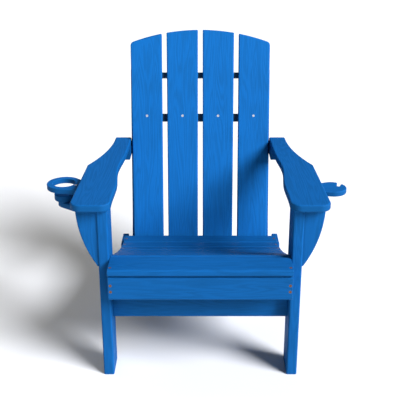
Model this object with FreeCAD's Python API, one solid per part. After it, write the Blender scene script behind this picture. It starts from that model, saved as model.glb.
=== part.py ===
"""Adirondack chair in poly-lumber boards, with a swivelling cup holder and wine-glass holder.

Millimetres. +Z is up, the sitter looks along -Y, and the sitter's left hand is on +X.
While the pieces are made, Y = 0 is the front face of the front legs and X = 0 the chair's
centre plane; at the end everything moves so that the origin lies on the floor under the
middle of the whole chair's bounding box.
"""
import FreeCAD, Part
import math
import os

V = FreeCAD.Vector
os.makedirs("parts", exist_ok=True)

# ---- driving dimensions -------------------------------------------------------------
board = 22.0                # thickness of the moulded boards
edge_round = 5.0            # rounding along the boards' long edges
end_round = 1.8             # softer rounding at sawn ends

leg_outer = 299.0           # outer face of a front leg from the centre plane
leg_thick = 32.0
leg_depth = 89.0
arm_under = 561.0           # height of the arms' underside

seat_half = 266.5           # half length of the seat slats and of the apron
seat_height = 399.0         # top of the front slat
seat_nose = -68.0           # front edge of the front slat
wide_slat = 84.0
narrow_slat = 61.0
slat_gap = 5.3
slat_falls = [0, 24, 23, 20, 18, 12, 4]     # degrees that each slat falls towards the back

rail_thick = 24.0           # seat stringers and back uprights
apron_front = -62.0
apron_low, apron_high = 299.0, 373.0
stretcher_front = 39.0
stretcher_low, stretcher_high = 182.0, 252.0
stretcher_thick = 20.0

recline = math.radians(20.0)
back_foot_y, back_foot_z = 448.0, 264.0     # where the back's front face meets the seat
back_slat_thick = 20.0
back_height = 689.0         # rise of the arch's middle above the back's foot
slat_feet = -60.0           # lower ends of the back slats, measured along the back
foot_half, top_half = 234.5, 250.5          # half width of the back at its foot and top
back_gap = 17.0
arch_drop = 46.0            # how far the arch has fallen at the back's outer edges
arch_corner = 16.0

arm_front, arm_rear = -30.0, 598.0
pivot_x, pivot_y = 340.0, 165.0             # swivel bolts of both holders
pivot_r = 4.0
running_gap = 0.05          # radial clearance of a holder on its bolt
free_gap = 0.3              # clearance between a holder and what it turns beside
cup_x, cup_y = -425.0, 207.0
cup_outer_r, cup_hole_r = 53.0, 34.5
holder_thick = 16.1
tray_r = 32.0
glass_x, glass_y = 406.0, 172.0
glass_r = 43.0
stem_slot = 11.0
stem_angle = math.radians(16.0)             # slot's lean from straight back

shank_r = 2.2               # wood screws
head_r = 4.2
head_h = 2.4
hole_gap = 0.15             # how much wider a screw hole is than its screw

parts = {}
SIDES = (("left", 1), ("right", -1))


# ---- general shapes -----------------------------------------------------------------
def face_of(points):
    """Planar face inside a polygon."""
    return Part.Face(Part.makePolygon(points + [points[0]]))


def round_edges(shape, radius, wanted):
    """Round every edge that the test picks."""
    edges = [e for e in shape.Edges if wanted(e)]
    return shape.makeFillet(radius, edges)


def along(edge, axis):
    """True when a straight edge runs along the given axis."""
    if not isinstance(edge.Curve, (Part.Line, Part.LineSegment)):
        return False
    a, b = edge.Vertexes[0].Point, edge.Vertexes[-1].Point
    return abs((b - a).normalize().dot(axis)) > 0.999


def flat_at(edge, axis, level):
    """True when the whole edge lies in the plane at that level along the axis."""
    box = edge.BoundBox
    low = V(box.XMin, box.YMin, box.ZMin).dot(axis)
    high = V(box.XMax, box.YMax, box.ZMax).dot(axis)
    return abs(low - level) < 0.01 and abs(high - level) < 0.01


def plank(x0, x1, y0, y1, z0, z1, axis):
    """Straight board: long edges well rounded, sawn ends only eased."""
    shape = Part.makeBox(x1 - x0, y1 - y0, z1 - z0, V(x0, y0, z0))
    shape = round_edges(shape, edge_round, lambda e: along(e, axis))
    lows = {0: x0, 1: y0, 2: z0}
    highs = {0: x1, 1: y1, 2: z1}
    index = [abs(axis.x), abs(axis.y), abs(axis.z)].index(1)
    low, high = lows[index], highs[index]
    return round_edges(shape, end_round, lambda e: flat_at(e, axis, low) or flat_at(e, axis, high))


def side_plate(points, x0, x1, corner):
    """Board that stands on edge, cut to an outline of (y, z) points with eased corners."""
    shape = face_of([V(x0, y, z) for y, z in points]).extrude(V(x1 - x0, 0, 0))
    if corner:
        shape = round_edges(shape, corner, lambda e: along(e, V(1, 0, 0)))
    return round_edges(shape, 3.0, lambda e: flat_at(e, V(1, 0, 0), x0) or flat_at(e, V(1, 0, 0), x1))


def mirrored(shape):
    return shape.mirror(V(0, 0, 0), V(1, 0, 0))


def add_pair(name, shape):
    """Store the sitter's left piece and its mirror image on the right."""
    parts[name + "_left"] = shape
    parts[name + "_right"] = mirrored(shape)


def cylinder(r, point, direction, length):
    return Part.makeCylinder(r, length, point, direction)


def turned(shape, point, direction):
    """Move a shape made on +Z at the origin so that +Z points along a direction."""
    rotation = FreeCAD.Rotation(V(0, 0, 1), direction)
    shape = shape.copy()
    shape.Placement = FreeCAD.Placement(point, rotation)
    return shape


def hexagon(across, z0, height):
    r = across / math.sqrt(3.0)
    ring = [V(r * math.cos(k * math.pi / 3), r * math.sin(k * math.pi / 3), z0) for k in range(6)]
    return face_of(ring).extrude(V(0, 0, height))


# ---- screws: each kind is made driven along +Z, its head's bearing plane at 0 --------
def flat_screw(length):
    """Countersunk screw with a hexagon socket, flush with the board."""
    head = Part.makeCone(head_r, shank_r, head_h)
    screw = head.fuse(cylinder(shank_r, V(0, 0, head_h), V(0, 0, 1), length - head_h))
    hole = Part.makeCone(head_r + hole_gap, shank_r + hole_gap, head_h)
    hole = hole.fuse(cylinder(shank_r + hole_gap, V(0, 0, 0), V(0, 0, 1), length + 1.0))
    return screw.cut(hexagon(3.0, -1.0, 2.4)), hole


def pan_screw(length):
    """Screw whose low domed head stands on the surface."""
    head = cylinder(6.5, V(0, 0, -3.4), V(0, 0, 1), 3.4)
    head = round_edges(head, 2.2, lambda e: flat_at(e, V(0, 0, 1), -3.4))
    screw = head.fuse(cylinder(3.0, V(0, 0, 0), V(0, 0, 1), length))
    hole = cylinder(3.0 + hole_gap, V(0, 0, -1), V(0, 0, 1), length + 2.0)
    return screw.cut(hexagon(4.0, -5.0, 3.2)), hole


def fasten(group, kind, length, places, through):
    """Drive one screw at each (point, direction) and drill the pieces it goes through."""
    made = []
    for point, direction in places:
        screw, hole = kind(length)
        made.append(turned(screw, point, direction))
        drill = turned(hole, point, direction)
        for name in through:
            if parts[name].BoundBox.intersect(drill.BoundBox):
                parts[name] = parts[name].cut(drill)
    parts[group] = Part.makeCompound(made)


# ---- seat ---------------------------------------------------------------------------
def seat_frames():
    """Front top edge, direction and up-normal of each seat slat, going back down the seat."""
    y, z = seat_nose, seat_height
    frames = []
    for number, fall in enumerate(slat_falls):
        width = wide_slat if number < 3 else narrow_slat
        a = math.radians(fall)
        direction = V(0, math.cos(a), -math.sin(a))
        frames.append((V(0, y, z), direction, V(0, math.sin(a), math.cos(a)), width))
        steeper = slat_falls[min(number + 1, len(slat_falls) - 1)] - fall
        # Where the seat turns down, the gap leaves room for the boards' lower corners.
        gap = max(slat_gap, 1.5 + board * math.sin(math.radians(steeper)))
        step = direction * (width + gap)
        y, z = y + step.y, z + step.z
    return frames


def seat_slat(frame, nose):
    start, direction, up, width = frame
    shape = Part.makeBox(2 * seat_half, width, board, V(-seat_half, 0, -board))
    shape = round_edges(shape, nose, lambda e: along(e, V(1, 0, 0)) and e.BoundBox.YMax < 1)
    shape = round_edges(shape, edge_round, lambda e: along(e, V(1, 0, 0)) and e.BoundBox.YMin > width - 1)
    ends = lambda e: abs(abs(e.BoundBox.XMin) - seat_half) < 0.01 and e.BoundBox.XLength < 0.01
    shape = round_edges(shape, end_round, ends)
    fall = math.degrees(math.atan2(direction.z, direction.y))
    shape.Placement = FreeCAD.Placement(start, FreeCAD.Rotation(V(1, 0, 0), fall))
    return shape


frames = seat_frames()
for number, frame in enumerate(frames):
    nose = 7.0 if number == 0 else edge_round
    parts["seat_slat_%d" % (number + 1)] = seat_slat(frame, nose)

# The stringers' top edge follows the undersides of the slats.
stringer_front = apron_front + board
top_edge = [V(0, stringer_front, seat_height - board)]
for before, after in zip(frames, frames[1:]):
    corner = (before[2] + after[2]) * (board / (1 + before[2].dot(after[2])))
    top_edge.append(after[0] - corner)
start, direction, up, width = frames[-1]
top_edge.append(start + direction * width - up * board)
stringer_outer = leg_outer - leg_thick
stringer_inner = stringer_outer - rail_thick
stringer_end = 545.0
stringer_outline = [(p.y, p.z) for p in top_edge]
stringer_outline += [(stringer_end - 20, top_edge[-1].z - 36), (stringer_end, top_edge[-1].z - 50)]
stringer_outline += [(stringer_end, 140.0), (stringer_front, 290.0)]
stringer = side_plate(stringer_outline, stringer_inner, stringer_outer, 0)

# The rear leg is let into a shallow housing in the stringer's outer face, and rebated in
# front of that so that it clears the ends of the last slats.
housing_depth = 6.5
housing_front = 450.0
rear_leg_outline = [(425, 241), (425, 168), (620, 0), (742, 0), (532, 212), (512, 241)]
rear_leg_inner = stringer_outer - housing_depth
rear_leg_outer = rear_leg_inner + 20.5
rear_leg = side_plate(rear_leg_outline, rear_leg_inner, rear_leg_outer, 8.0)
rebate = Part.makeBox(stringer_outer - rear_leg_inner + 1, housing_front - 400, 300,
                      V(rear_leg_inner - 1, 400, 0))
rear_leg = rear_leg.cut(rebate)
housing = face_of([V(rear_leg_inner, y, z) for y, z in rear_leg_outline]).extrude(V(50, 0, 0))
add_pair("seat_stringer", stringer.cut(housing.cut(rebate)))

parts["front_apron"] = plank(-seat_half, seat_half, apron_front, apron_front + board,
                             apron_low, apron_high, V(1, 0, 0))

# ---- legs ---------------------------------------------------------------------------
add_pair("front_leg", plank(stringer_outer, leg_outer, 0, leg_depth, 0, arm_under, V(0, 0, 1)))
parts["front_stretcher"] = plank(-stringer_outer, stringer_outer, stretcher_front,
                                 stretcher_front + stretcher_thick, stretcher_low,
                                 stretcher_high, V(1, 0, 0))

add_pair("rear_leg", rear_leg)

# ---- back: made flat in (x, s), s running up the back's front face, then leaned -------
def lean(shape):
    """Stand a shape made in the XY plane (y = up the back, z = towards the sitter)."""
    shape = shape.copy()
    rotation = FreeCAD.Rotation(V(1, 0, 0), 90.0 - math.degrees(recline))
    shape.Placement = FreeCAD.Placement(V(0, back_foot_y, back_foot_z), rotation)
    return shape


def back_point(x, s, depth=0.0):
    """World point x along, s up the back and depth behind its front face."""
    y = back_foot_y + s * math.sin(recline) + depth * math.cos(recline)
    z = back_foot_z + s * math.cos(recline) - depth * math.sin(recline)
    return V(x, y, z)


into_back = V(0, math.cos(recline), -math.sin(recline))
back_top = back_height / math.cos(recline)
arch_r = (top_half ** 2 + arch_drop ** 2) / (2 * arch_drop)


def half_width(s):
    """Half width of the whole back at s."""
    return foot_half + (top_half - foot_half) * (s - slat_feet) / (back_top - slat_feet)


def slat_edges(column, s):
    """Left and right edge of one of the four back slats at s."""
    total = 2 * half_width(s)
    width = (total - 3 * back_gap) / 4
    left = -half_width(s) + column * (width + back_gap)
    return left, left + width


def arch_s(x):
    return back_top - arch_r + math.sqrt(arch_r ** 2 - x ** 2)


for column in range(4):
    low_left, low_right = slat_edges(column, slat_feet)
    # Each side is straight, so its crossing with the arch is found by a few repeated steps.
    s_left, s_right = back_top, back_top
    for _ in range(8):
        s_left = arch_s(slat_edges(column, s_left)[0])
        s_right = arch_s(slat_edges(column, s_right)[1])
    x_left, x_right = slat_edges(column, s_left)[0], slat_edges(column, s_right)[1]
    middle = (x_left + x_right) / 2
    corners = [V(low_left, slat_feet, 0), V(low_right, slat_feet, 0), V(x_right, s_right, 0)]
    outline = [Part.LineSegment(corners[0], corners[1]).toShape(),
               Part.LineSegment(corners[1], corners[2]).toShape(),
               Part.Arc(corners[2], V(middle, arch_s(middle), 0), V(x_left, s_left, 0)).toShape(),
               Part.LineSegment(V(x_left, s_left, 0), corners[0]).toShape()]
    slat = Part.Face(Part.Wire(outline)).extrude(V(0, 0, -back_slat_thick))
    upright_edges = [e for e in slat.Edges if along(e, V(0, 0, 1)) and e.BoundBox.YMin > 0]
    outer_edges = [e for e in upright_edges if abs(e.BoundBox.XMin) > 200]
    inner_edges = [e for e in upright_edges if abs(e.BoundBox.XMin) <= 200]
    if outer_edges:
        slat = slat.makeFillet(arch_corner, outer_edges)
        inner_edges = [e for e in slat.Edges if along(e, V(0, 0, 1)) and e.BoundBox.YMin > 0
                       and abs(e.BoundBox.XMin) < 200]
    slat = slat.makeFillet(3.0, inner_edges)
    rims = lambda e: flat_at(e, V(0, 0, 1), 0) or flat_at(e, V(0, 0, 1), -back_slat_thick)
    parts["back_slat_%d" % (column + 1)] = lean(round_edges(slat, edge_round - 0.6, rims))

upright_depth = 56.0
upright_low, upright_straight, upright_high = -120.0, 60.0, 592.0
upright_flare = 7.0


def upright_inner(s):
    """Inner face of an upright at s: straight beside the stringer, then opening outwards."""
    rise = max(0.0, s - upright_straight) / (upright_high - upright_straight)
    return stringer_inner - rail_thick + upright_flare * rise


def back_board(points, depth):
    """Board lying against the back slats' rear faces, cut to an outline in (x, s)."""
    shape = face_of([V(x, s, -back_slat_thick) for x, s in points]).extrude(V(0, 0, -depth))
    return shape


levels = (upright_low, upright_straight, upright_high)
outline = [(upright_inner(s), s) for s in levels]
outline += [(upright_inner(s) + rail_thick, s) for s in reversed(levels)]
upright = back_board(outline, upright_depth)
long_edges = lambda e: not along(e, V(1, 0, 0)) and not along(e, V(0, 0, 1))
add_pair("back_upright", lean(round_edges(upright, 3.0, long_edges)))


def cross_rail(low, high):
    """Rail between the uprights, behind the slats."""
    half_low, half_high = upright_inner(low) - 0.2, upright_inner(high) - 0.2
    shape = back_board([(-half_low, low), (half_low, low), (half_high, high), (-half_high, high)],
                       board)
    return lean(round_edges(shape, 3.0, lambda e: along(e, V(1, 0, 0))))


def s_at(z, depth=back_slat_thick):
    """Distance up the back of a point at height z, that far behind the slats' front faces."""
    return (z - back_foot_z + depth * math.sin(recline)) / math.cos(recline)


foot_rail = (slat_feet, slat_feet + 55.0)
lower_rail = (s_at(639.0), s_at(665.5))
upper_rail = (s_at(786.0), s_at(805.0))
parts["back_foot_rail"] = cross_rail(*foot_rail)
parts["lower_back_rail"] = cross_rail(*lower_rail)
parts["upper_back_rail"] = cross_rail(*upper_rail)

# ---- arms ---------------------------------------------------------------------------
front_corner = 32.0
inner_edge = Part.BSplineCurve()
inner_edge.interpolate([V(252.5, arm_front, 0), V(254.5, 60, 0), V(252.8, 150, 0), V(258.5, 215, 0),
                        V(262, 275, 0), V(259.5, 325, 0), V(253.5, 390, 0), V(249.5, 470, 0),
                        V(247.8, arm_rear, 0)])
shoulder = V(365, 306, 0)
arm_outline = [Part.LineSegment(V(252.5, arm_front, 0), V(372, arm_front, 0)).toShape(),
               Part.LineSegment(V(372, arm_front, 0), shoulder).toShape(),
               Part.Arc(shoulder, V(326.5, 418, 0), V(305, arm_rear, 0)).toShape(),
               Part.LineSegment(V(305, arm_rear, 0), V(247.8, arm_rear, 0)).toShape(),
               inner_edge.toShape()]
arm = Part.Face(Part.Wire(Part.__sortEdges__(arm_outline))).extrude(V(0, 0, board))
arm = round_edges(arm, front_corner, lambda e: along(e, V(0, 0, 1)) and e.BoundBox.YMin < 0)
arm = round_edges(arm, 6.0, lambda e: along(e, V(0, 0, 1)) and e.BoundBox.YMin > arm_rear - 1)
arm = round_edges(arm, edge_round, lambda e: flat_at(e, V(0, 0, 1), 0) or flat_at(e, V(0, 0, 1), board))
arm.translate(V(0, 0, arm_under))
add_pair("arm", arm)

# Curved bracket outside each front leg, its broad face to the front.
bracket_front, bracket_top, bracket_low = 5.0, 360.0, 374.0
bracket_tip = V(leg_outer + 4, 0, bracket_low)
bracket = [Part.LineSegment(V(leg_outer, 0, bracket_low), V(leg_outer, 0, arm_under)).toShape(),
           Part.LineSegment(V(leg_outer, 0, arm_under), V(bracket_top, 0, arm_under)).toShape(),
           Part.Arc(V(bracket_top, 0, arm_under), V(343.5, 0, 460), bracket_tip).toShape(),
           Part.LineSegment(bracket_tip, V(leg_outer, 0, bracket_low)).toShape()]
bracket = Part.Face(Part.Wire(bracket)).extrude(V(0, board, 0))
bracket = round_edges(bracket, 3.0, lambda e: e.BoundBox.XMax > leg_outer + 5
                      and e.BoundBox.ZMin < arm_under - 1 and e.BoundBox.YLength < 0.01)
bracket.translate(V(0, bracket_front, 0))
add_pair("arm_bracket", bracket)

# Block that carries the arm's rear end on the upright.
block_front, block_low, block_out = 512.0, 526.0, 290.0
block_in = upright_inner(s_at(arm_under, back_slat_thick + upright_depth)) + rail_thick
block_outline = [V(block_in, 0, block_low), V(block_out, 0, block_low), V(block_out, 0, arm_under),
                 V(block_in, 0, arm_under)]
block = face_of(block_outline).extrude(V(0, 112.0, 0))
block.translate(V(0, block_front, 0))
block = round_edges(block, 3.0, lambda e: e.BoundBox.ZMax < arm_under - 1 and along(e, V(0, 1, 0)))
add_pair("arm_rear_block", block)

# Cleat against the bracket's back: screwed to the leg from inside, it holds the arm down.
cleat_front, cleat_low, cleat_thick = bracket_front + board, 523.0, 22.0
add_pair("arm_cleat", plank(leg_outer, leg_outer + cleat_thick, cleat_front, leg_depth,
                            cleat_low, arm_under, V(0, 1, 0)))

# ---- swivelling holders ---------------------------------------------------------------
washer_thick = 1.6
holder_top = arm_under - washer_thick - free_gap


def link_plate(x0, y0, r0, x1, y1, r1, z0, thick):
    """Plate whose outline wraps round two circles, straight between them."""
    run = V(x1 - x0, y1 - y0, 0)
    heading = math.atan2(run.y, run.x)
    spread = math.acos((r0 - r1) / run.Length)
    ends = []
    for sign in (1, -1):
        a = heading + sign * spread
        ray = V(math.cos(a), math.sin(a), 0)
        ends.append((V(x0, y0, 0) + ray * r0, V(x1, y1, 0) + ray * r1))
    back = V(x0, y0, 0) - run.normalize() * r0
    front = V(x1, y1, 0) + run * r1
    wire = [Part.LineSegment(ends[0][0], ends[0][1]).toShape(),
            Part.Arc(ends[0][1], front, ends[1][1]).toShape(),
            Part.LineSegment(ends[1][1], ends[1][0]).toShape(),
            Part.Arc(ends[1][0], back, ends[0][0]).toShape()]
    plate = Part.Face(Part.Wire(wire)).extrude(V(0, 0, thick))
    plate.translate(V(0, 0, z0))
    return plate


def ease_rims(shape, radius, levels):
    up = V(0, 0, 1)
    return round_edges(shape, radius, lambda e: any(flat_at(e, up, z) for z in levels))


def pivot_hole(x, low, high):
    return cylinder(pivot_r + running_gap, V(x, pivot_y, low - 1), V(0, 0, 1), high - low + 2)


tongue_r = 27.0
ring_low = holder_top - holder_thick
tray_high = holder_top - 33.0
carrier_high = holder_top - 55.0
carrier_low = carrier_high - 20.0

ring = link_plate(cup_x, cup_y, cup_outer_r, -pivot_x, pivot_y, tongue_r, ring_low, holder_thick)
ring = ring.cut(cylinder(cup_hole_r, V(cup_x, cup_y, ring_low - 1), V(0, 0, 1), holder_thick + 2))
ring = ease_rims(ring, 2.0, (ring_low, holder_top))
parts["cup_ring"] = ring.cut(pivot_hole(-pivot_x, ring_low, holder_top))

to_pivot = V(-pivot_x - cup_x, pivot_y - cup_y, 0).normalize()
neck_screw = V(cup_x, cup_y, 0) + to_pivot * (cup_hole_r + 9.5)
spacer = link_plate(neck_screw.x, neck_screw.y, 9.0, -pivot_x, pivot_y, tongue_r,
                    carrier_high, ring_low - carrier_high)
parts["cup_spacer"] = spacer.cut(pivot_hole(-pivot_x, carrier_high, ring_low))

carrier = link_plate(cup_x + 6, cup_y - 1, tray_r - 5, -pivot_x, pivot_y, tongue_r + 14, carrier_low,
                     carrier_high - carrier_low)
carrier = ease_rims(carrier, 4.0, (carrier_low, carrier_high))
parts["cup_carrier"] = carrier.cut(pivot_hole(-pivot_x, carrier_low, carrier_high))

tray = cylinder(tray_r, V(cup_x, cup_y, carrier_high), V(0, 0, 1), tray_high - carrier_high)
parts["cup_tray"] = ease_rims(tray, 4.0, (carrier_high, tray_high))

plate = link_plate(glass_x, glass_y, glass_r, pivot_x, pivot_y, tongue_r, ring_low, holder_thick)
lean_back = V(math.sin(stem_angle), math.cos(stem_angle), 0)
across = V(lean_back.y, -lean_back.x, 0) * (stem_slot / 2)
slot_end = V(glass_x + 20, glass_y + 12, 0)
slot_far = slot_end + lean_back * (glass_r + 20)
slot = face_of([slot_end - across, slot_end + across, slot_far + across, slot_far - across])
slot = slot.extrude(V(0, 0, holder_thick + 2))
slot = slot.fuse(cylinder(stem_slot / 2, slot_end, V(0, 0, 1), holder_thick + 2)).removeSplitter()
slot.translate(V(0, 0, ring_low - 1))
plate = plate.cut(slot)
plate = round_edges(plate, 5.0, lambda e: along(e, V(0, 0, 1)) and e.BoundBox.YMin > glass_y + 20)
plate = ease_rims(plate, 3.0, (ring_low, holder_top))
parts["glass_plate"] = plate.cut(pivot_hole(pivot_x, ring_low, holder_top))


def swivel(prefix, x, low):
    """Bolt standing out of the arm's underside, a washer above and below, and a nut."""
    nut_high = low - free_gap - washer_thick
    nut_thick = 7.0
    bolt_low = nut_high - nut_thick - 3.0
    arm_depth = 15.0
    bolt = cylinder(pivot_r, V(x, pivot_y, bolt_low), V(0, 0, 1), arm_under + arm_depth - bolt_low)
    bolt = bolt.makeChamfer(1.0, [e for e in bolt.Edges if flat_at(e, V(0, 0, 1), bolt_low)])
    washers = []
    for z in (arm_under - washer_thick, nut_high):
        disc = cylinder(9.0, V(x, pivot_y, z), V(0, 0, 1), washer_thick)
        washers.append(disc.cut(cylinder(pivot_r + hole_gap, V(x, pivot_y, z - 1), V(0, 0, 1), 4)))
    nut = hexagon(13.0, 0, nut_thick)
    nut = nut.common(Part.makeCone(9.0, 6.3, nut_thick).fuse(Part.makeCylinder(7.2, nut_thick - 1.4)))
    nut.translate(V(x, pivot_y, nut_high - nut_thick))
    nut = nut.cut(cylinder(pivot_r + hole_gap, V(x, pivot_y, bolt_low), V(0, 0, 1), 30))
    parts[prefix + "_pivot_bolt"] = bolt
    parts[prefix + "_pivot_washers"] = Part.makeCompound(washers)
    parts[prefix + "_pivot_nut"] = nut
    arm_name = "arm_left" if x > 0 else "arm_right"
    well = cylinder(pivot_r + hole_gap, V(x, pivot_y, arm_under - 1), V(0, 0, 1), arm_depth + 1.5)
    parts[arm_name] = parts[arm_name].cut(well)


swivel("cup", -pivot_x, carrier_low)
swivel("glass", pivot_x, ring_low)

# ---- fasteners ------------------------------------------------------------------------
outward = {"left": V(1, 0, 0), "right": V(-1, 0, 0)}
screw_x = stringer_outer - 8.0

places = [(V(sign * screw_x, apron_front, z), V(0, 1, 0)) for _, sign in SIDES for z in (326, 346)]
fasten("apron_screws", flat_screw, 60, places,
       ["front_apron", "seat_stringer_left", "seat_stringer_right"])

places = []
for start, direction, up, width in frames:
    middle = start + direction * (width / 2 if start.y > 0 else 16.5)
    places += [(V(sign * screw_x, middle.y, middle.z), -up) for _, sign in SIDES]
fasten("seat_slat_screws", flat_screw, 40, places,
       ["seat_slat_%d" % (n + 1) for n in range(len(frames))]
       + ["seat_stringer_left", "seat_stringer_right", "front_apron"])

columns = [sum(slat_edges(c, s_at(662.0))) / 2 for c in range(4)]
rail_s = sum(lower_rail) / 2
slats = ["back_slat_%d" % (c + 1) for c in range(4)]
fasten("back_slat_screws", flat_screw, 36, [(back_point(x, rail_s + 5), into_back) for x in columns],
       slats + ["lower_back_rail"])
foot_s = sum(foot_rail) / 2
places = [(back_point(x + dx, foot_s), into_back) for x in columns for dx in (-22, 22)]
fasten("back_foot_screws", flat_screw, 36, places, slats + ["back_foot_rail"])
behind = back_slat_thick + board
places = [(back_point(x, sum(upper_rail) / 2, behind), -into_back) for x in columns]
fasten("upper_rail_screws", flat_screw, 36, places, slats + ["upper_back_rail"])

places = []
for side, sign in SIDES:
    for low, high in (lower_rail, upper_rail):
        s = (low + high) / 2
        point = back_point(sign * (upright_inner(s) + rail_thick), s, back_slat_thick + board / 2)
        places.append((point, -outward[side]))
fasten("upright_screws", flat_screw, 48, places,
       ["back_upright_left", "back_upright_right", "lower_back_rail", "upper_back_rail"])

places = [(V(sign * stringer_inner, y, z), outward[side]) for side, sign in SIDES
          for y, z in ((24, 332), (64, 304))]
fasten("leg_screws", pan_screw, 48, places,
       ["seat_stringer_left", "seat_stringer_right", "front_leg_left", "front_leg_right"])

places = [(V(sign * leg_outer, stretcher_front + stretcher_thick / 2, 231), -outward[side])
          for side, sign in SIDES]
fasten("stretcher_screws", pan_screw, 75, places, ["front_leg_left", "front_leg_right", "front_stretcher"])

places = [(V(sign * (leg_outer + 7), leg_depth, z), V(0, -1, 0)) for _, sign in SIDES
          for z in (531, 554)]
fasten("bracket_screws", pan_screw, 76, places,
       ["arm_cleat_left", "arm_cleat_right", "arm_bracket_left", "arm_bracket_right"])

places = [(V(sign * rear_leg_outer, y, z), -outward[side]) for side, sign in SIDES
          for y, z in ((488, 218), (474, 182))]
fasten("rear_leg_screws", pan_screw, 62, places,
       ["rear_leg_left", "rear_leg_right", "seat_stringer_left", "seat_stringer_right",
        "back_upright_left", "back_upright_right"])

places = [(V(sign * (block_in + 16), y, block_low), V(0, 0, 1)) for _, sign in SIDES for y in (532, 574)]
fasten("arm_block_screws", pan_screw, 50, places,
       ["arm_rear_block_left", "arm_rear_block_right", "arm_left", "arm_right"])
places = [(V(sign * block_out, block_front + 88, z), -outward[side]) for side, sign in SIDES
          for z in (535, 552)]
fasten("upright_block_screws", flat_screw, 62, places,
       ["arm_rear_block_left", "arm_rear_block_right", "back_upright_left", "back_upright_right"])

places = []
for side, sign in SIDES:
    places.append((V(sign * stringer_outer, leg_depth - 10, arm_under - 15), outward[side]))
    for y in (42, 66):
        places.append((V(sign * (leg_outer + 15), y, cleat_low), V(0, 0, 1)))
fasten("arm_cleat_screws", pan_screw, 50, places,
       ["arm_cleat_left", "arm_cleat_right", "front_leg_left", "front_leg_right", "arm_left", "arm_right"])

fasten("cup_neck_screw", flat_screw, 68, [(V(neck_screw.x, neck_screw.y, holder_top), V(0, 0, -1))],
       ["cup_ring", "cup_spacer", "cup_carrier"])
places = [(V(cup_x + dx, cup_y, carrier_low), V(0, 0, 1)) for dx in (-12, 12)]
fasten("cup_tray_screws", flat_screw, 34, places, ["cup_carrier", "cup_tray"])

# ---- move to the chair's own origin and write ------------------------------------------
x_low, x_high = cup_x - cup_outer_r, glass_x + glass_r
rear_most = max(shape.BoundBox.YMax for shape in parts.values())
home = V(-(x_low + x_high) / 2, -(seat_nose + rear_most) / 2, 0)
for name in sorted(parts):
    shape = parts[name].copy()
    shape.translate(home)
    shape.exportStep("parts/%s.step" % name)
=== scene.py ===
import bmesh
import bpy
import math
from mathutils import Matrix, Vector


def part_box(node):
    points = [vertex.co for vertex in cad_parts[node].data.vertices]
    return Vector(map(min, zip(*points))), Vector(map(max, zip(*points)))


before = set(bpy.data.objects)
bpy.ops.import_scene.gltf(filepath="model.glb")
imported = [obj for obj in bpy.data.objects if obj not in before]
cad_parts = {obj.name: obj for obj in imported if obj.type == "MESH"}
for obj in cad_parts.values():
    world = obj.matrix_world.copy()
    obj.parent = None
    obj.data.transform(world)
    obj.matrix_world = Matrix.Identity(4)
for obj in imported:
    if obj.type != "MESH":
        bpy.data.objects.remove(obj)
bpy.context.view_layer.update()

# ---- Seat stringers ----
# Two contoured boards of blue poly-lumber carry the seat. Every board of the chair is the same
# stuff: foamed polyethylene, coloured right through and rolled with a wood-grain emboss while
# warm, so the figure runs along the board and the sawn ends stay plain.

def add(tree, kind, inputs, **settings):
    """New shader node with its settings made and its sockets filled or joined."""
    made = tree.nodes.new(kind)
    for name, value in settings.items():
        setattr(made, name, value)
    for socket, value in inputs.items():
        if isinstance(value, bpy.types.NodeSocket):
            tree.links.new(value, made.inputs[socket])
        else:
            made.inputs[socket].default_value = value
    return made


def sums(tree, operation, first, second=0.0):
    """Arithmetic on two values."""
    return add(tree, "ShaderNodeMath", {0: first, 1: second}, operation=operation).outputs[0]


def plus(tree, value, extra, weight):
    """One value and a share of another."""
    return sums(tree, "ADD", value, sums(tree, "MULTIPLY", extra, weight))


def about_zero(tree, value):
    """Value moved from 0 to 1 down to -0.5 to 0.5."""
    return sums(tree, "SUBTRACT", value, 0.5)


def fades(tree, value, low, high):
    """Smooth step between two values."""
    inputs = {"Value": value, "From Min": low, "From Max": high}
    return add(tree, "ShaderNodeMapRange", inputs, interpolation_type="SMOOTHSTEP").outputs[0]


def blends(tree, factor, first, second):
    """Mixed colour."""
    inputs = {0: factor, 6: first, 7: second}
    return add(tree, "ShaderNodeMix", inputs, data_type="RGBA").outputs[2]


def agreement(tree, one, other):
    """How far two directions point the same way."""
    inputs = {0: one, 1: other}
    return add(tree, "ShaderNodeVectorMath", inputs, operation="DOT_PRODUCT").outputs["Value"]


def noise(tree, where, scale, detail, rough, twist=0.0):
    """Cloudy values from 0 to 1."""
    inputs = {"Vector": where, "Scale": scale, "Detail": detail, "Roughness": rough, "Distortion": twist}
    return add(tree, "ShaderNodeTexNoise", inputs).outputs[0]


def stretched(tree, where, scale, shift):
    """Place read through a scale and a shift."""
    return add(tree, "ShaderNodeMapping", {"Vector": where, "Scale": scale, "Location": shift}).outputs[0]


# Colours of a batch: embossed skin, its grooves, a sawn face, an edge rubbed pale.
BLUE = ((0.0042, 0.101, 0.315), (0.0034, 0.074, 0.218), (0.0038, 0.080, 0.235), (0.009, 0.150, 0.450))

# The figure is slow noise drawn out along the board and cut into contour lines; the fibres are
# short fine streaks. Both give cycles per metre along, across and through the board.
FIGURE_CYCLES = (2.2, 24.0, 24.0)
FIGURE_LINES = 13.0
FIBRE_CYCLES = (16.0, 330.0, 330.0)
CLOUD_CYCLES = 7.0
RUB_CYCLES = 42.0
EMBOSS_DEPTH = 0.0005
EMBOSS_STRENGTH = 0.65
EMBOSS_LEFT_ON_SAWN = 0.12
EDGE_ROUND = 0.0032

LINE_HEIGHT, FIBRE_HEIGHT = 0.50, 0.65

# Colour: how much each of these shades or covers the skin.
GROOVE_SHADE, CLOUD_SHADE, FIBRE_SHADE = 0.40, 0.7, 1.0
SAWN_COVER, RUB_COVER = 0.8, 0.55

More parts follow.
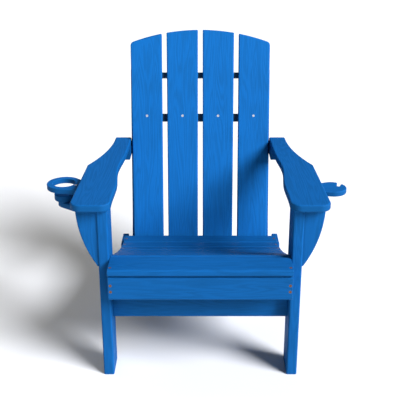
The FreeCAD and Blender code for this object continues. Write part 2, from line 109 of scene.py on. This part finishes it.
# Sheen of the skin: dull, and smoother where hands rub it.
SKIN_ROUGH = 0.56
FIBRE_DULLS, GROOVE_DULLS, RUB_SHINES = 0.30, 0.16, 0.10
SKIN_SPECULAR = 0.05

# Each board reads the figure at a place of its own, taken from the letters of its name.
PHASE_STEP, PHASE_RANGE = 0.377, 9.0


def board_turn(length, face):
    """Rotation that lays a board's length on X and its broad face on Z."""
    x, z = Vector(length).normalized(), Vector(face).normalized()
    y = z.cross(x)
    return Matrix((x, y, z)).transposed().to_euler()


def scaled_by_painted_light(colour, strength):
    """Colours scaled by painted light: lighter or darker for how the light falls on one board."""
    return (*[channel * strength for channel in colour], 1.0)


def figure(tree, board, phase):
    """Contour lines of the embossed grain; each board has a phase of its own."""
    drawn = stretched(tree, board, FIGURE_CYCLES, (phase, phase * 0.7, phase * 1.3))
    hills = noise(tree, drawn, scale=1.0, detail=2.2, rough=0.42, twist=0.35)
    lines = sums(tree, "PINGPONG", sums(tree, "MULTIPLY", hills, FIGURE_LINES), 0.5)
    return fades(tree, lines, 0.05, 0.42)


def sawn_faces(tree, normal, length, face, cut_out):
    """1 on the sawn ends, and on every side face of a piece that is cut from a sheet."""
    if cut_out:
        broad = agreement(tree, normal, Vector(face).normalized())
        return fades(tree, sums(tree, "ABSOLUTE", broad), 0.75, 0.45)
    along = agreement(tree, normal, Vector(length).normalized())
    return fades(tree, sums(tree, "ABSOLUTE", along), 0.55, 0.85)


def rubbed_edges(tree, board):
    """1 in worn patches along the rounded edges."""
    bevel = add(tree, "ShaderNodeBevel", {"Radius": EDGE_ROUND}, samples=4).outputs[0]
    flat = add(tree, "ShaderNodeNewGeometry", {}).outputs["Normal"]
    edge = fades(tree, agreement(tree, bevel, flat), 0.995, 0.93)
    patches = noise(tree, board, RUB_CYCLES, detail=3.0, rough=0.65)
    return sums(tree, "MULTIPLY", edge, fades(tree, patches, 0.44, 0.66))


def lumber(name, length, face, grain=1.0, painted_light_share=1.0, cut_out=False, batch_or_painted_shade=BLUE):
    """Poly-lumber for one board, its embossed figure laid along the board's length."""
    stuff = bpy.data.materials.new("lumber_" + name)
    stuff.use_nodes = True
    tree = stuff.node_tree
    shader = tree.nodes["Principled BSDF"]
    where = add(tree, "ShaderNodeTexCoord", {})
    low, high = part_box(name)
    turn = board_turn(length, face)
    lay = {"Vector": where.outputs["Object"], "Location": (low + high) / 2, "Rotation": turn}
    board = add(tree, "ShaderNodeMapping", lay, vector_type="TEXTURE").outputs[0]

    phase = sum(map(ord, name)) * PHASE_STEP % PHASE_RANGE
    lines = figure(tree, board, phase)
    thread = stretched(tree, board, FIBRE_CYCLES, (phase, 0.0, 0.0))
    fibres = noise(tree, thread, scale=1.0, detail=3.0, rough=0.6)
    sawn = sawn_faces(tree, where.outputs["Normal"], length, face, cut_out)
    rolled = sums(tree, "SUBTRACT", 1.0, sums(tree, "MULTIPLY", sawn, 1.0 - EMBOSS_LEFT_ON_SAWN))
    rub = rubbed_edges(tree, board)

    # Colour: deeper in the grooves, a little cloudy, rubbed pale along the rounded edges.
    # The batch's colours are scaled by the board's painted light share: painted light or painted shade for
    # how the light falls on it.
    skin, in_groove, sawn_colour, rubbed = [scaled_by_painted_light(colour, painted_light_share) for colour in batch_or_painted_shade]
    cloud = noise(tree, board, CLOUD_CYCLES, detail=2.0, rough=0.5)
    depth = sums(tree, "MULTIPLY", rolled, GROOVE_SHADE * grain)
    groove = sums(tree, "MULTIPLY", sums(tree, "SUBTRACT", 1.0, lines), depth)
    tint = plus(tree, groove, about_zero(tree, cloud), CLOUD_SHADE)
    tint = plus(tree, tint, about_zero(tree, fibres), FIBRE_SHADE)
    tint.node.use_clamp = True
    colour = blends(tree, tint, skin, in_groove)
    colour = blends(tree, sums(tree, "MULTIPLY", sawn, SAWN_COVER), colour, sawn_colour)
    colour = blends(tree, sums(tree, "MULTIPLY", rub, RUB_COVER), colour, rubbed)
    tree.links.new(colour, shader.inputs["Base Color"])

    rough = plus(tree, SKIN_ROUGH, about_zero(tree, fibres), FIBRE_DULLS)
    rough = plus(tree, rough, groove, GROOVE_DULLS)
    rough = plus(tree, rough, rub, -RUB_SHINES)
    tree.links.new(rough, shader.inputs["Roughness"])
    shader.inputs["Specular IOR Level"].default_value = SKIN_SPECULAR

    relief = plus(tree, sums(tree, "MULTIPLY", lines, LINE_HEIGHT), fibres, FIBRE_HEIGHT)
    relief = sums(tree, "MULTIPLY", relief, sums(tree, "MULTIPLY", rolled, grain))
    emboss = {"Height": relief, "Strength": EMBOSS_STRENGTH, "Distance": EMBOSS_DEPTH}
    tree.links.new(add(tree, "ShaderNodeBump", emboss).outputs[0], shader.inputs["Normal"])
    return stuff


def dress(node, stuff):
    """Give a CAD node its finish."""
    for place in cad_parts[node].material_slots:
        place.material = stuff


ACROSS, BACKWARDS, UP = Vector((1, 0, 0)), Vector((0, 1, 0)), Vector((0, 0, 1))
SIDES = ("left", "right")
STRINGER_FALL = (0, 0.95, -0.25)
for side in SIDES:
    name = "seat_stringer_" + side
    dress(name, lumber(name, STRINGER_FALL, ACROSS))

# ---- Front legs, apron and stretcher ----
# The legs are boards on edge that run up to the arms. The apron is screwed over the stringers'
# front ends, and the stretcher stands between the legs lower down.
for side in SIDES:
    name = "front_leg_" + side
    dress(name, lumber(name, UP, ACROSS))
# Painted shade: the apron's and the stretcher's colour is darkened for the shade under the seat's nose and
# behind the apron.
for name in ("front_apron", "front_stretcher"):
    dress(name, lumber(name, ACROSS, BACKWARDS, painted_light_share=0.92))

# ---- Rear legs ----
# Short raked boards of the same lumber, each screwed to the outside of a stringer and an
# upright. Their tops stand up as ears at the seat's rear corners.
REAR_LEG_RAKE = (0, 0.7, -0.7)
for side in SIDES:
    name = "rear_leg_" + side
    dress(name, lumber(name, REAR_LEG_RAKE, ACROSS))

# ---- Seat slats ----
# Seven boards screwed down across the stringers, falling to the back in a hollow. The first
# has a round nose. Their falls are in degrees below level.
SLAT_FALLS = (0, 24, 23, 20, 18, 12, 4)
for number, degrees in enumerate(SLAT_FALLS, start=1):
    name = "seat_slat_%d" % number
    fall = math.radians(degrees)
    # Painted shade: each seat slat's colour is darkened a little for the shade that lies over the seat.
    dress(name, lumber(name, ACROSS, (0, math.sin(fall), math.cos(fall)), painted_light_share=0.94))

# ---- Back frame ----
# Two uprights stand inside the stringers and lean back; three rails cross between them. The rails
# are the same blue lumber, given a darker, greyer colour as painted shade for the deep shade they
# stand in behind the slats.
# Painted shade colours for the rails: skin, grooves, sawn face and rubbed edge.
RAIL_PAINTED_SHADE = ((0.030, 0.078, 0.120), (0.022, 0.056, 0.085), (0.024, 0.060, 0.092), (0.045, 0.110, 0.170))
RECLINE = math.radians(20.0)
UP_THE_BACK = Vector((0, math.sin(RECLINE), math.cos(RECLINE)))
OUT_OF_THE_BACK = Vector((0, -math.cos(RECLINE), math.sin(RECLINE)))
for side in SIDES:
    name = "back_upright_" + side
    dress(name, lumber(name, UP_THE_BACK, ACROSS))
for name in ("back_foot_rail", "lower_back_rail", "upper_back_rail"):
    dress(name, lumber(name, ACROSS, OUT_OF_THE_BACK, batch_or_painted_shade=RAIL_PAINTED_SHADE))

# ---- Back slats ----
# Four boards that widen upwards, sawn to one arch along their tops and screwed to the rails
# from the front. Their colour is lightened most of all the boards, as painted light for the key
# light that falls full on them.
for number in range(1, 5):
    name = "back_slat_%d" % number
    dress(name, lumber(name, UP_THE_BACK, OUT_OF_THE_BACK, painted_light_share=1.24))

# ---- Arms ----
# Flat arms sawn from wide boards, held by a curved bracket and a cleat outside each leg and by
# a block on the upright at the rear.
# Painted shade: the arms' colour is darkened a little, and the rear blocks' much more, for the shade they
# sit in under the arms.
for side in SIDES:
    dress("arm_" + side, lumber("arm_" + side, BACKWARDS, UP, painted_light_share=0.98, cut_out=True))
    dress("arm_bracket_" + side, lumber("arm_bracket_" + side, UP, BACKWARDS, cut_out=True))
    dress("arm_cleat_" + side, lumber("arm_cleat_" + side, BACKWARDS, ACROSS))
    dress("arm_rear_block_" + side, lumber("arm_rear_block_" + side, BACKWARDS, UP, painted_light_share=0.75))

# ---- Holders ----
# The cup ring, its spacer, carrier and tray, and the slotted glass plate, sawn from the same
# board. Each set turns on a bolt under its arm.
for name in ("cup_ring", "cup_spacer", "cup_carrier", "cup_tray", "glass_plate"):
    dress(name, lumber(name, ACROSS, UP, grain=0.7, cut_out=True))

# ---- Steel ----
# Stainless screws, swivel bolts and nuts, tumbled to a satin finish that is part bright and
# part clouded by handling.
FILM_CYCLES = 420.0
GRIT_CYCLES = 2600.0
GRIT_DEPTH = 0.00006
GRIT_STRENGTH = 0.35


def fitting(name, clean, dull, rough, speck, metallic=0.0):
    """Finish of a small fitting: fine grit all over and a duller film in patches."""
    stuff = bpy.data.materials.new(name)
    stuff.use_nodes = True
    tree = stuff.node_tree
    shader = tree.nodes["Principled BSDF"]
    where = add(tree, "ShaderNodeTexCoord", {}).outputs["Object"]
    film = noise(tree, where, FILM_CYCLES, detail=4.0, rough=0.6)
    grit = noise(tree, where, GRIT_CYCLES, detail=2.0, rough=0.5)
    colour = blends(tree, fades(tree, film, 0.42, 0.68), (*clean, 1.0), (*dull, 1.0))
    tree.links.new(colour, shader.inputs["Base Color"])
    tree.links.new(plus(tree, rough, about_zero(tree, film), speck), shader.inputs["Roughness"])
    shader.inputs["Metallic"].default_value = metallic
    bump = add(tree, "ShaderNodeBump", {"Height": grit, "Strength": GRIT_STRENGTH, "Distance": GRIT_DEPTH})
    tree.links.new(bump.outputs[0], shader.inputs["Normal"])
    return stuff


BRIGHT_STEEL, DULL_STEEL = (0.80, 0.80, 0.79), (0.56, 0.56, 0.56)
satin_steel = fitting("satin_steel", BRIGHT_STEEL, DULL_STEEL, rough=0.34, speck=0.35, metallic=0.45)
for name in ("back_slat_screws", "back_foot_screws", "upper_rail_screws", "upright_screws",
             "leg_screws", "stretcher_screws", "bracket_screws", "rear_leg_screws",
             "arm_block_screws", "upright_block_screws", "arm_cleat_screws",
             "cup_neck_screw", "cup_tray_screws", "cup_pivot_bolt", "cup_pivot_nut",
             "glass_pivot_bolt", "glass_pivot_nut"):
    dress(name, satin_steel)

# ---- Coated screws ----
# The seat slats and the apron are held by deck screws, whose heads have a brown baked coating
# that is a little duller in patches.
BROWN, DULL_BROWN = (0.19, 0.085, 0.040), (0.11, 0.052, 0.028)
brown_coating = fitting("brown_coating", BROWN, DULL_BROWN, rough=0.46, speck=0.4, metallic=0.35)
for name in ("apron_screws", "seat_slat_screws"):
    dress(name, brown_coating)

# ---- Washers ----
# Black nylon discs on the swivel bolts, one above and one below each holder. They rub at
# every turn, so they carry a slightly greyer film.
BLACK, WORN_BLACK = (0.022, 0.022, 0.024), (0.040, 0.040, 0.042)
black_nylon = fitting("black_nylon", BLACK, WORN_BLACK, rough=0.50, speck=0.25)
for name in ("cup_pivot_washers", "glass_pivot_washers"):
    dress(name, black_nylon)

# ---- Floor ----
# A plain matt studio floor, nearly white, that the chair stands on. It is one flat sheet
# that runs well past the chair on every side.
FLOOR_HALF = 30.0
floor_mesh = bmesh.new()
bmesh.ops.create_grid(floor_mesh, x_segments=1, y_segments=1, size=FLOOR_HALF)
floor_data = bpy.data.meshes.new("studio_floor")
floor_mesh.to_mesh(floor_data)
floor_mesh.free()
floor = bpy.data.objects.new("studio_floor", floor_data)
bpy.context.collection.objects.link(floor)
floor_stuff = bpy.data.materials.new("studio_white")
floor_stuff.use_nodes = True
floor_shader = floor_stuff.node_tree.nodes["Principled BSDF"]
floor_shader.inputs["Base Color"].default_value = (0.88, 0.86, 0.81, 1.0)
floor_shader.inputs["Roughness"].default_value = 0.9
floor_data.materials.append(floor_stuff)

# ---- Light ----
# One strong soft key stands in front on the viewer's right, and a broad weak light overhead
# behind lifts the floor and the flat tops. The surroundings add a little warm fill.
world = bpy.data.worlds.new("studio")
bpy.context.scene.world = world
world.use_nodes = True
surroundings = world.node_tree.nodes["Background"]
surroundings.inputs["Color"].default_value = (1.0, 0.92, 0.66, 1.0)
surroundings.inputs["Strength"].default_value = 0.10

DAYLIGHT = (0.93, 0.97, 1.09)


def far_light(name, towards, energy, spread):
    """Distant lamp, given by the direction that leads to it and its width in degrees."""
    data = bpy.data.lights.new(name, "SUN")
    data.energy = energy
    data.angle = math.radians(spread)
    data.color = DAYLIGHT
    lamp = bpy.data.objects.new(name, data)
    bpy.context.collection.objects.link(lamp)
    lamp.rotation_euler = Vector(towards).to_track_quat("Z", "Y").to_euler()


far_light("key", (0.68, -0.45, 0.58), energy=6.2, spread=30.0)
far_light("overhead", (-0.25, 0.45, 0.86), energy=0.7, spread=50.0)

# ---- Camera ----
# Stands in front of the chair at a grown person's shoulder height, a long lens tilted down
# at it, with a small shift that keeps the chair in the middle.
LOOK_DOWN = math.radians(19.63)
camera_data = bpy.data.cameras.new("camera")
camera_data.lens = 66.1
camera_data.sensor_width = 36.0
camera_data.shift_y = -0.1
camera = bpy.data.objects.new("camera", camera_data)
bpy.context.collection.objects.link(camera)
camera.location = (0.0135, -2.2581, 1.3950)
camera.rotation_euler = (math.radians(90.0) - LOOK_DOWN, 0.0, 0.0)
bpy.context.scene.camera = camera
bpy.context.scene.view_settings.view_transform = "Standard"
